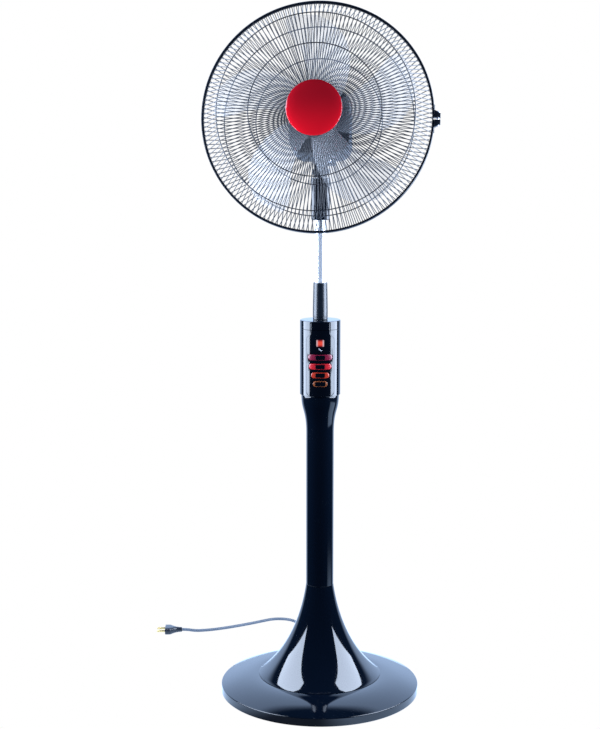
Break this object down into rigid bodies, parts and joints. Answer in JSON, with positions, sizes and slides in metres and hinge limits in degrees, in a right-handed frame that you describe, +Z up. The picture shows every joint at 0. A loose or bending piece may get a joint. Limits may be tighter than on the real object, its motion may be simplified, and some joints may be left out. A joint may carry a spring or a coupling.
{
  "type": "pedestal fan",
  "caption": "Pedestal fan with a round weighted base, flared column, control box with push buttons, sliding chrome pole, tilting and swinging head, wire guards and a spinning blade.",
  "frame": {"origin": "on the column's axis, on the floor under the base", "axes": "+Z up along the column, -Y towards the front of the control box, +X to the right seen from the front"},
  "size_m": [0.594, 0.6322, 1.3661],
  "materials": {
    "housing_black": "gloss",
    "trim_black": "satin",
    "guard_wire": "gloss paint",
    "cap_red": "gloss",
    "display_red": "gloss",
    "button_crimson": "gloss",
    "button_red": "gloss",
    "button_orange": "gloss",
    "chrome": "polished",
    "zinc": "zinc plated",
    "steel": "plain",
    "cast_aluminium": "cast",
    "winding_core": "varnished laminations",
    "ballast": "as cast",
    "rubber": "matt",
    "cord_grey": "satin",
    "blade": "clear tinted",
    "brass": "plain",
    "board": "satin",
    "white_plastic": "satin"
  },
  "bodies": {
    "stand": {"base_cover": "housing_black", "base_weight": "ballast", "base_plate": "steel", "foot_pad_1": "rubber", "foot_pad_2": "rubber", "foot_pad_3": "rubber", "foot_pad_4": "rubber", "column_flare": "housing_black", "column_cover": "housing_black", "support_tube": "steel", "support_flange": "steel", "flange_nut": "zinc", "box_shell": "housing_black", "box_cap": "housing_black", "neck_trim": "trim_black", "control_fascia": "housing_black", "display_lens": "display_red", "circuit_board": "board", "pole_collet": "trim_black", "cord_gland": "rubber", "inner_mains_lead": "cord_grey", "cord_lead_in": "cord_grey", "cord_coil": "cord_grey", "cord_tail": "cord_grey", "plug_body": "trim_black", "plug_pin_left": "brass", "plug_pin_right": "brass"},
    "height_lock": {"height_lock_nut": "trim_black"},
    "power_key": {"power_button": "button_crimson"},
    "speed_key": {"speed_button": "button_red"},
    "swing_key": {"swing_button": "button_orange"},
    "timer_key": {"timer_button": "button_orange"},
    "pole": {"chrome_pole": "chrome", "pole_bush": "white_plastic", "neck_socket": "housing_black", "motor_cable": "rubber"},
    "neck_clamp": {"neck_clamp_knob": "trim_black"},
    "knuckle": {"tilt_knuckle": "housing_black", "tilt_bolt": "zinc", "tilt_nut": "zinc"},
    "head": {"motor_cover_rear": "housing_black", "motor_cover_front": "housing_black", "stator_core": "winding_core", "end_bell_front": "cast_aluminium", "end_bell_rear": "cast_aluminium", "bush_front": "brass", "bush_rear": "brass", "rear_guard": "guard_wire", "guard_ring_nut": "trim_black", "front_guard": "guard_wire", "guard_band": "trim_black", "band_screw": "zinc", "center_cap": "cap_red", "swing_motor": "cast_aluminium"},
    "crank": {"swing_crank": "zinc"},
    "link": {"swing_link": "zinc"},
    "rotor": {"motor_shaft": "steel", "rotor_core": "steel", "fan_blade": "blade", "blade_spinner": "trim_black"}
  },
  "joints": [
    {"name": "height_lock_turn", "type": "hinge", "parent": "stand", "child": "height_lock", "pos_m": [0, 0, 0.7965], "axis": [0, 0, 1], "range_deg": [0, 180]},
    {"name": "power_button_press", "type": "slide", "parent": "stand", "child": "power_key", "axis": [0, 1, 0], "range_m": [0, 0.001], "stiffness_N_per_m": 300},
    {"name": "speed_button_press", "type": "slide", "parent": "stand", "child": "speed_key", "axis": [0, 1, 0], "range_m": [0, 0.001], "stiffness_N_per_m": 300},
    {"name": "swing_button_press", "type": "slide", "parent": "stand", "child": "swing_key", "axis": [0, 1, 0], "range_m": [0, 0.001], "stiffness_N_per_m": 300},
    {"name": "timer_button_press", "type": "slide", "parent": "stand", "child": "timer_key", "axis": [0, 1, 0], "range_m": [0, 0.001], "stiffness_N_per_m": 300},
    {"name": "pole_slide", "type": "slide", "parent": "stand", "child": "pole", "axis": [0, 0, 1], "range_m": [-0.118, 0]},
    {"name": "neck_clamp_turn", "type": "hinge", "parent": "pole", "child": "neck_clamp", "pos_m": [0, -0.0203, 0.966], "axis": [0, -1, 0], "range_deg": [0, 180]},
    {"name": "head_tilt", "type": "hinge", "parent": "pole", "child": "knuckle", "pos_m": [0, 0, 1.047], "axis": [-1, 0, 0], "range_deg": [-17, 9]},
    {"name": "head_swing", "type": "hinge", "parent": "knuckle", "child": "head", "pos_m": [0, 0, 1.047], "axis": [0, 0.1908, 0.9816], "range_deg": [-35.8, 44.2]},
    {"name": "crank_turn", "type": "hinge", "parent": "head", "child": "crank", "pos_m": [0.00842, 0.04372, 1.06499], "axis": [0, 0.1908, 0.9816], "range_deg": [-57.5, 46.6]},
    {"name": "link_turn", "type": "hinge", "parent": "crank", "child": "link", "pos_m": [0.02691, 0.04336, 1.06098], "axis": [0, 0.1908, 0.9816], "range_deg": [-46.6, 57.5]},
    {"name": "blade_spin", "type": "hinge", "parent": "head", "child": "rotor", "pos_m": [-0.00645, -0.06936, 1.15013], "axis": [-0.0732, -0.979, 0.1903], "continuous": true}
  ],
  "couplings": [
    {"joint": "crank_turn", "follows": "head_swing", "ratio": -1.3},
    {"joint": "link_turn", "follows": "head_swing", "ratio": 1.3}
  ]
}
